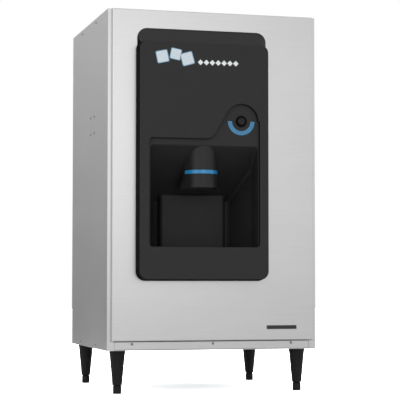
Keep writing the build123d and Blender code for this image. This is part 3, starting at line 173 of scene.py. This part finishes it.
def galvanisedSheet(name):
    material, tree, shader, place = newMaterial(name, "#a9adb0", 0.45, 1.0)
    settings = {"feature": "F1", "Scale": zincCrystals["perMetre"], "Randomness": 1.0}
    cells = addNode(tree, "ShaderNodeTexVoronoi", settings, {"Vector": place})
    grey = addNode(tree, "ShaderNodeSeparateColor", {}, {"Color": cells.outputs["Color"]}).outputs[0]
    varyColour(tree, shader, grey, zincCrystals["dark"], zincCrystals["light"])
    varyRoughness(tree, shader, grey, *zincCrystals["roughness"])
    return material


# Moulded ABS with a fine spark-eroded grain: the grain gives a soft sheen with no sharp highlight
# The real grain is 0.3 mm, too fine to show, so it is drawn 0.9 mm wide
absSkin = {
    "cloud": {"scale": (14, 14, 14)}, "swing": (0.04, 0.05), "IOR": 1.52,
    "grainDetail": 2.0, "bump": 0.6,
}


def mouldedAbs(name, colour, shade, roughness, gloss, grainScale=1100, grainHeight=0.00006):
    material, tree, shader, place = newMaterial(
        name, colour, roughness, IOR=absSkin["IOR"], Specular_IOR_Level=gloss)
    cloudSurface(tree, shader, place, absSkin, shade, colour, roughness)
    grain = stretchedNoise(tree, place, (grainScale,) * 3, absSkin["grainDetail"])
    addBump(tree, shader, grain, grainHeight, absSkin["bump"])
    return material


# Smooth moulded plastic, as on the button and its nut: faint flow marks and rubbed patches
smoothSkin = {
    "cloud": {"scale": (55, 55, 55), "detail": 4.0, "rough": 0.6}, "swing": (0.05, 0.08), "IOR": 1.5,
}


def smoothPlastic(name, colour, shade, roughness, gloss=0.5):
    material, tree, shader, place = newMaterial(
        name, colour, roughness, IOR=smoothSkin["IOR"], Specular_IOR_Level=gloss)
    cloudSurface(tree, shader, place, smoothSkin, shade, colour, roughness)
    return material


# Powder-coated steel: an even orange-peel skin with dimples 2.4 mm wide, a little worn to a satin
coatSkin = {
    "cloud": {"scale": (30, 30, 30)}, "swing": (0.05, 0.07), "IOR": 1.5,
    "dimples": {"scale": (420, 420, 420), "detail": 2.0}, "height": 0.00010, "bump": 0.5,
}


def powderCoat(name, colour, shade, roughness, gloss):
    material, tree, shader, place = newMaterial(
        name, colour, roughness, IOR=coatSkin["IOR"], Specular_IOR_Level=gloss)
    cloudSurface(tree, shader, place, coatSkin, shade, colour, roughness)
    dimples = stretchedNoise(tree, place, **coatSkin["dimples"])
    addBump(tree, shader, dimples, coatSkin["height"], coatSkin["bump"])
    return material


# Bare metal that was turned, drawn or plated: fine marks, about 4 mm long, and a few dull spots
metalSkin = {
    "cloud": {"scale": (260, 260, 260), "detail": 4.0, "rough": 0.6}, "swing": (0.06, 0.08),
    "height": 0.00003, "bump": 0.5,
}


def plainMetal(name, colour, shade, roughness):
    material, tree, shader, place = newMaterial(name, colour, roughness, 1.0)
    marks = cloudSurface(tree, shader, place, metalSkin, shade, colour, roughness)
    addBump(tree, shader, marks, metalSkin["height"], metalSkin["bump"])
    return material


# Die-cast or foamed stuff: a pitted surface, with so many pits in a metre, each so many metres deep
pittedSkin = {"cloud": {"scale": (20, 20, 20), "detail": 4.0}, "swing": (0.05, 0.05), "bump": 0.7}


def pittedSurface(name, colour, shade, roughness, metallic, perMetre, depth):
    material, tree, shader, place = newMaterial(name, colour, roughness, metallic)
    cloudSurface(tree, shader, place, pittedSkin, shade, colour, roughness)
    settings = {"feature": "SMOOTH_F1", "Scale": perMetre}
    pits = addNode(tree, "ShaderNodeTexVoronoi", settings, {"Vector": place}).outputs["Distance"]
    addBump(tree, shader, pits, depth, pittedSkin["bump"])
    return material


# Circuit board: green lacquer over copper tracks, which are drawn as blocks 4 mm wide
boardLook = {
    "perMetre": (250, 250, 250), "lacquer": "#1b5530", "overCopper": "#25683c",
    "trackEdge": "#3c8452", "trackWidth": 0.06,
}


def circuitBoard(name):
    material, tree, shader, place = newMaterial(name, "#1d5c35", 0.3)
    mapping = addNode(tree, "ShaderNodeMapping", {"Scale": boardLook["perMetre"]}, {"Vector": place})
    settings = {
        "Scale": 1.0, "Color1": hexColour(boardLook["lacquer"]),
        "Color2": hexColour(boardLook["overCopper"]), "Mortar": hexColour(boardLook["trackEdge"]),
        "Mortar Size": boardLook["trackWidth"],
    }
    tracks = addNode(tree, "ShaderNodeTexBrick", settings, {"Vector": mapping.outputs[0]})
    tree.links.new(tracks.outputs["Color"], shader.inputs["Base Color"])
    return material


# Sheet metal: the grain catches a broad, level sheen, and the zinc is a patchwork of greys
stainless = brushedStainless("brushed stainless steel", "#c2c2c2", "#cfcfcf", 0.36)
galvanised = galvanisedSheet("galvanised steel sheet")
# The draft walls come out of the mould duller than the face, as their grain is dragged, and their darker
# colour is painted shade
frontAbs = mouldedAbs("grained ABS, bezel", "#2f2f2f", "#2c2c2c", 0.5, gloss=0.17)
wallAbsPaintedShade = mouldedAbs("grained ABS, draft walls in painted shade", "#151515", "#111111", 0.7, gloss=0.03)
# The recess and the spout are the same ABS, a shade darker and with a little more sheen
recessAbs = mouldedAbs("grained ABS, recess", "#242424", "#202020", 0.52, gloss=0.25)
spoutAbs = mouldedAbs("grained ABS, spout", "#262626", "#222222", 0.46, gloss=0.25)
# The half ring is a film with a soft sheen, and the band on the spout is solid and glossy
blueFilm = smoothPlastic("blue polyester film", "#4488b3", "#367ba8", 0.42)
blueAcrylic = smoothPlastic("blue acrylic", "#2c8fc6", "#2482b8", 0.22)
# The button shines from use, its ring swallows the light, and the hidden nylon is plain satin
buttonPlastic = smoothPlastic("black nylon, polished by fingers", "#120d0c", "#090707", 0.22, gloss=0.22)
ringPlastic = smoothPlastic("black acetal ring", "#030303", "#020202", 0.45, gloss=0.06)
blackNylon = smoothPlastic("black nylon", "#1a1a1a", "#141414", 0.4, gloss=0.3)
# The legs and feet are satin black, with their dimples seen only close by
legCoat = powderCoat("black powder coat", "#141414", "#0f0f0f", 0.4, gloss=0.25)
# Small metal parts, from the shiny shafts to the dull screw heads and the sandy castings
zincPlate = plainMetal("bright zinc plate", "#c2c2bf", "#a8a8a4", 0.28)
screwSteel = plainMetal("dull stainless screw", "#9b9b99", "#7e7e7c", 0.42)
polished = plainMetal("polished stainless steel", "#c9c9c9", "#b5b5b5", 0.2)
springWire = plainMetal("drawn spring wire", "#9c9c9a", "#82827f", 0.3)
castAlloy = pittedSurface(
    "die-cast aluminium", "#9a9c9e", "#868889", 0.5, metallic=1.0, perMetre=900, depth=0.0002)
# Foams: cut foam is open and crumbly, and the gasket's skin has finer pores
boardFoam = pittedSurface(
    "cut polyurethane foam", "#d8c58e", "#c9b479", 0.9, metallic=0.0, perMetre=420, depth=0.0008)
gasketFoam = pittedSurface(
    "closed-cell rubber foam", "#2a2a2a", "#202020", 0.85, metallic=0.0, perMetre=700, depth=0.0004)
# Pale plastics: waxy polyethylene with its grain drawn 2 mm wide, ivory acetal and pipe PVC
binPlastic = mouldedAbs(
    "white polyethylene", "#e4e6e4", "#d9dcda", 0.45, gloss=0.5, grainScale=500, grainHeight=0.00008)
natural = smoothPlastic("natural acetal", "#e2dcc8", "#d8d0b8", 0.4)
pvc = smoothPlastic("grey-white PVC", "#cfcfc9", "#c3c3bc", 0.38)
circuit = circuitBoard("lacquered circuit board")
print("materials made:", len(bpy.data.materials))

# Which CAD node wears which material
finishes = {
    stainless: ("left_side_panel", "right_side_panel", "front_panel", "base_rail", "top_frame"),
    galvanised: (
        "base_pan", "rear_panel", "leg_plates", "switch_bracket", "motor_bracket", "solenoid_bracket",
        "bin_stand", "control_box", "control_box_cover",
    ),
    frontAbs: ("bezel",),
    recessAbs: ("recess_liner", "drain_tray", "drain_grille"),
    spoutAbs: ("spout",),
    blueFilm: ("button_arc",),
    blueAcrylic: ("spout_band",),
    buttonPlastic: ("push_button",),
    ringPlastic: ("button_collar",),
    blackNylon: ("button_nut", "button_switch", "inlet_bushing"),
    legCoat: (
        "leg_front_left", "leg_front_right", "leg_rear_left", "leg_rear_right",
        "foot_front_left", "foot_front_right", "foot_rear_left", "foot_rear_right", "solenoid",
    ),
    screwSteel: ("panel_screws",),
    zincPlate: ("leg_nuts", "bezel_nuts", "solenoid_plunger"),
    polished: ("auger", "auger_tube", "agitator", "flap_shaft"),
    springWire: ("button_spring",),
    castAlloy: ("auger_gear_motor", "agitator_gear_motor"),
    boardFoam: ("side_insulation", "end_insulation"),
    gasketFoam: ("ice_maker_gasket",),
    binPlastic: ("bin", "drop_chute", "flap_door", "level_sensor", "switch_plunger"),
    natural: ("auger_upper_bearing", "auger_lower_bearing", "agitator_bushes"),
    pvc: ("drain_pipe", "bin_drain_tube"),
    circuit: ("control_board",),
}
wears = {node: material for material, group in finishes.items() for node in group}
for name, node in nodes.items():
    node.data.materials.clear()
    node.data.materials.append(wears[name])


# Links a finished mesh as a piece of the scene, with its material
def newPiece(name, mesh, material):
    piece = bpy.data.objects.new(name, mesh)
    bpy.context.scene.collection.objects.link(piece)
    mesh.materials.clear()
    mesh.materials.append(material)
    return piece


# Which edges make a lip: their face looks forward, their wall runs back (by the share of the normal)
lipRule = {"sameFace": 0.00005, "wallBelow": 0.1, "faceOver": 0.9, "segments": 5}


# Rounds the sharp edges between the foremost flat face and the walls that run back from it
def roundLip(form, radius):
    foremost = min(v.co.y for v in form.verts)
    edges = []
    for edge in form.edges:
        flat = all(abs(v.co.y - foremost) < lipRule["sameFace"] for v in edge.verts)
        if flat and len(edge.link_faces) == 2:
            leans = sorted(abs(face.normal.y) for face in edge.link_faces)
            if leans[0] < lipRule["wallBelow"] and leans[1] > lipRule["faceOver"]:
                edges.append(edge)
    bmesh.ops.bevel(
        form, geom=edges, offset=radius, offset_type="OFFSET", segments=lipRule["segments"],
        profile=0.5, affect="EDGES", material=-1,
    )
    print("lip edges rounded:", len(edges))


# Draws the two upright folds of a panel in, so that the cabinet's front flanges show beside it
def drawIn(form, inset, foldDepth=0.003):
    reach = max(v.co.x for v in form.verts)
    for v in form.verts:
        if abs(v.co.x) > reach - foldDepth:
            v.co.x -= math.copysign(inset, v.co.x)


# Gives the faces that run back from the front a second, darker material, which paints shade on them
def paintWallShade(mesh, material, steepest=0.5):
    mesh.materials.append(material)
    for face in mesh.polygons:
        if abs(face.normal.y) < steepest:
            face.material_index = 1


# Copies are welded, their flat faces joined, and every edge from sharpFrom on gets a small round
softening = {
    "weld": 0.00001, "flatWithin": math.radians(1), "sharpFrom": math.radians(28),
    "segments": 2, "flatWeight": 100,
}


# A copy of a CAD node with its edges rounded by a live bevel, which stands for that node
def softened(node, width, lip=0.0, inset=0.0, wallShadeMaterial=None):
    mesh = nodes[node].data.copy()
    form = bmesh.new()
    form.from_mesh(mesh)
    bmesh.ops.remove_doubles(form, verts=form.verts, dist=softening["weld"])
    bmesh.ops.dissolve_limit(
        form, angle_limit=softening["flatWithin"], verts=form.verts, edges=form.edges)
    if inset:
        drawIn(form, inset)
    if lip:
        roundLip(form, lip)
    form.to_mesh(mesh)
    form.free()
    mesh.shade_smooth()
    mesh.set_sharp_from_angle(angle=softening["sharpFrom"])
    piece = newPiece(node + "_shown", mesh, wears[node])
    # The walls take a darker material here, which is painted shade
    if wallShadeMaterial:
        paintWallShade(mesh, wallShadeMaterial)
    bevel = piece.modifiers.new("edge", "BEVEL")
    bevel.width = width
    bevel.segments = softening["segments"]
    bevel.limit_method = "ANGLE"
    bevel.angle_limit = softening["sharpFrom"]
    bevel.use_clamp_overlap = True
    flat = piece.modifiers.new("flat faces", "WEIGHTED_NORMAL")
    flat.keep_sharp = True
    flat.weight = softening["flatWeight"]
    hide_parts(node)
    body = nodes[node]["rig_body"]
    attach(piece, body)


# The width of each node's rounded edges, in metres, with the bigger round of its front lip if it has one
# The front panel's folds are drawn in as well, and the bezel's walls get their duller finish, darkened as
# painted shade
softEdges = {
    "front_panel": {"width": 0.0011, "lip": 0.0034, "inset": 0.012},
    "left_side_panel": {"width": 0.0005},
    "right_side_panel": {"width": 0.0005},
    "base_rail": {"width": 0.0005, "lip": 0.003},
    "top_frame": {"width": 0.0008},
    "bezel": {"width": 0.0012, "lip": 0.004, "wallShadeMaterial": wallAbsPaintedShade},
    "recess_liner": {"width": 0.0012},
    "drain_grille": {"width": 0.0006},
    "spout": {"width": 0.001},
}
for node, sizes in softEdges.items():
    softened(node, **sizes)
print("edges rounded:", len(softEdges))

# Flat parts that lie on the front: an emblem of ice cubes with a row of lozenges, and a bare plate
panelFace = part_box("front_panel")[0][1]
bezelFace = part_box("bezel")[0][1]
tileRounds = {"cornerSegments": 5, "edge": 0.0003, "edgeSegments": 2}


# A rounded, slightly raised tile on a face that looks along -Y, turned in its own plane
# Its corners are rounded by a share of its shorter side
def tile(name, place, size, turn, thickness, faceY, material, corner=0.12):
    mesh = bpy.data.meshes.new(name)
    form = bmesh.new()
    bmesh.ops.create_grid(form, x_segments=1, y_segments=1, size=0.5)
    bmesh.ops.scale(form, verts=form.verts, vec=(size[0], size[1], 1))
    bmesh.ops.bevel(
        form, geom=form.verts[:], offset=corner * min(size), offset_type="OFFSET",
        segments=tileRounds["cornerSegments"], profile=0.5, affect="VERTICES", material=-1,
    )
    bmesh.ops.rotate(form, verts=form.verts, matrix=Matrix.Rotation(math.radians(turn), 3, "Z"))
    bmesh.ops.rotate(form, verts=form.verts, matrix=Matrix.Rotation(math.radians(90), 3, "X"))
    grown = bmesh.ops.extrude_face_region(form, geom=form.faces[:])
    raised = [v for v in grown["geom"] if isinstance(v, bmesh.types.BMVert)]
    bmesh.ops.translate(form, verts=raised, vec=(0, -thickness, 0))
    bmesh.ops.translate(form, verts=form.verts, vec=(place[0], faceY, place[1]))
    bmesh.ops.recalc_face_normals(form, faces=form.faces)
    form.to_mesh(mesh)
    form.free()
    piece = newPiece(name, mesh, material)
    bevel = piece.modifiers.new("edge", "BEVEL")
    bevel.width = tileRounds["edge"]
    bevel.segments = tileRounds["edgeSegments"]
    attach(piece, "cabinet")


iceInk = smoothPlastic("pale blue printing ink", "#dbe6ed", "#cfdde6", 0.4)
edgeInk = smoothPlastic("blue printing ink", "#7fa6bd", "#7299b2", 0.4)
whiteInk = smoothPlastic("white printing ink", "#f2f4f5", "#e8ebed", 0.4)
plateBlack = smoothPlastic("black printed polyester", "#232323", "#1c1c1c", 0.3)
plateBorder = plainMetal("bare aluminium border", "#b9b9b9", "#a5a5a5", 0.35)

# Each cube: across, up, side and turn in degrees. A pale face lies on each, with a blue edge round it
emblem = {
    "cubes": ((-0.199, 1.176, 0.044, 12), (-0.151, 1.186, 0.040, -11), (-0.109, 1.171, 0.046, 16)),
    "depth": 0.0003, "faceShare": 0.88, "faceDepth": 1.6,
}
for k, (x, z, side, turn) in enumerate(emblem["cubes"]):
    face = side * emblem["faceShare"]
    raised = emblem["depth"] * emblem["faceDepth"]
    tile(f"emblem_edge_{k}", (x, z), (side, side), turn, emblem["depth"], bezelFace, edgeInk)
    tile(f"emblem_cube_{k}", (x, z), (face, face), turn, raised, bezelFace, iceInk)

# Small squares that stand on their corners, from the first one's place on
lozengeRow = {
    "count": 7, "across": -0.0615, "up": 1.160, "step": 0.0215, "side": 0.0145, "turn": 45, "corner": 0.1,
}
size = (lozengeRow["side"], lozengeRow["side"])
for k in range(lozengeRow["count"]):
    place = (lozengeRow["across"] + k * lozengeRow["step"], lozengeRow["up"])
    tile(
        f"emblem_lozenge_{k}", place, size, lozengeRow["turn"], emblem["depth"], bezelFace, whiteInk,
        corner=lozengeRow["corner"],
    )

# The plate is bare: a black face on a metal one that shows as a thin border
ratingPlate = {
    "place": (0.2485, 0.2305), "size": (0.113, 0.0155), "border": 0.0014,
    "depth": 0.0008, "faceDepth": 1.4,
}
place = ratingPlate["place"]
inside = tuple(side - 2 * ratingPlate["border"] for side in ratingPlate["size"])
raised = ratingPlate["depth"] * ratingPlate["faceDepth"]
tile("rating_plate_border", place, ratingPlate["size"], 0, ratingPlate["depth"], panelFace, plateBorder)
tile("rating_plate", place, inside, 0, raised, panelFace, plateBlack)
print("emblem and plate placed")

# Studio: the floor is one flat sheet, white to the camera and a pale grey to the object
studio = {"floorSize": 30.0, "floorGrey": 0.72, "floorSeen": 5.0, "floorRough": 0.9, "worldDiffuse": 0.78}
floorMesh = bpy.data.meshes.new("floor")
form = bmesh.new()
bmesh.ops.create_grid(form, x_segments=1, y_segments=1, size=studio["floorSize"] / 2)
form.to_mesh(floorMesh)
form.free()
paper, paperTree, paperShader = emptyMaterial("white studio paper")
paperShader.inputs["Roughness"].default_value = studio["floorRough"]
paperPath = addNode(paperTree, "ShaderNodeLightPath")
settings = {"To Min": studio["floorGrey"], "To Max": studio["floorSeen"]}
links = {"Value": paperPath.outputs["Is Camera Ray"]}
paperTone = addNode(paperTree, "ShaderNodeMapRange", settings, links)
paperTree.links.new(paperTone.outputs[0], paperShader.inputs["Base Color"])
floor = newPiece("floor", floorMesh, paper)

# The world is white to the camera, in reflections and through glass, and a little less to the rest
world = bpy.data.worlds.new("studio")
bpy.context.scene.world = world
world.use_nodes = True
sky = world.node_tree
background = sky.nodes["Background"]
background.inputs["Color"].default_value = (1, 1, 1, 1)
path = addNode(sky, "ShaderNodeLightPath")
larger = {"operation": "MAXIMUM"}
links = {0: path.outputs["Is Camera Ray"], 1: path.outputs["Is Glossy Ray"]}
seen = addNode(sky, "ShaderNodeMath", larger, links)
links = {0: seen.outputs[0], 1: path.outputs["Is Transmission Ray"]}
seen = addNode(sky, "ShaderNodeMath", larger, links)
settings = {"To Min": studio["worldDiffuse"], "To Max": 1.0}
level = addNode(sky, "ShaderNodeMapRange", settings, {"Value": seen.outputs[0]})
sky.links.new(level.outputs[0], background.inputs["Strength"])

# A soft key high in front, and a fill from the left, each aimed at its target
lamps = {
    "key": {"place": (0.2, -5.4, 1.75), "target": (-0.2, -0.34, 0.85), "size": 2.4, "power": 20},
    "fill": {"place": (-2.8, -2.2, 2.0), "target": (-0.3, 0.1, 0.7), "size": 2.0, "power": 20},
}
for name, sizes in lamps.items():
    lamp = bpy.data.lights.new(name, "AREA")
    lamp.shape = "SQUARE"
    lamp.size = sizes["size"]
    lamp.energy = sizes["power"]
    holder = bpy.data.objects.new(name, lamp)
    bpy.context.scene.collection.objects.link(holder)
    holder.location = sizes["place"]
    aim = Vector(sizes["target"]) - Vector(sizes["place"])
    holder.rotation_euler = aim.to_track_quat("-Z", "Y").to_euler()

# Two grey cards that only reflections and bounced light see: one behind on the left, one high in front
# Each runs from its first tone to its second between its two heights
cards = {
    "left card": {"size": 2.0, "place": (-2.35, 3.5, 1.7), "heights": (0.2, 2.4), "tones": (0.4, 0.95)},
    "front card": {"size": 1.8, "place": (0.2, -5.9, 4.1), "heights": (2.3, 3.6), "tones": (0.75, 0.4)},
}
for name, card in cards.items():
    cardMesh = bpy.data.meshes.new(name)
    form = bmesh.new()
    bmesh.ops.create_grid(form, x_segments=1, y_segments=1, size=card["size"])
    bmesh.ops.rotate(form, verts=form.verts, matrix=Matrix.Rotation(math.radians(90), 3, "X"))
    bmesh.ops.translate(form, verts=form.verts, vec=card["place"])
    form.to_mesh(cardMesh)
    form.free()
    paint, paintTree, paintShader = emptyMaterial(name)
    coordinates = addNode(paintTree, "ShaderNodeTexCoord").outputs["Object"]
    height = addNode(paintTree, "ShaderNodeSeparateXYZ", {}, {"Vector": coordinates}).outputs["Z"]
    low, high = card["heights"]
    lowTone, highTone = card["tones"]
    settings = {"From Min": low, "From Max": high, "To Min": lowTone, "To Max": highTone}
    tone = addNode(paintTree, "ShaderNodeMapRange", settings, {"Value": height})
    paintTree.links.new(tone.outputs[0], paintShader.inputs["Base Color"])
    holder = newPiece(name, cardMesh, paint)
    holder.visible_camera = False
    holder.visible_shadow = False
print("studio lit")

# Camera: solved from the cabinet's corners in the photograph, with its turns in degrees
view = {
    "sensor": 36, "lens": 134.15, "place": (-1.42496, -5.38913, 0.39758),
    "turns": (93.0712, -0.027, -15.196),
}
camera = bpy.data.objects.new("camera", bpy.data.cameras.new("camera"))
bpy.context.scene.collection.objects.link(camera)
camera.data.sensor_width = view["sensor"]
camera.data.lens = view["lens"]
camera.location = view["place"]
camera.rotation_euler = [math.radians(turn) for turn in view["turns"]]
bpy.context.scene.camera = camera
bpy.context.scene.view_settings.view_transform = "Standard"
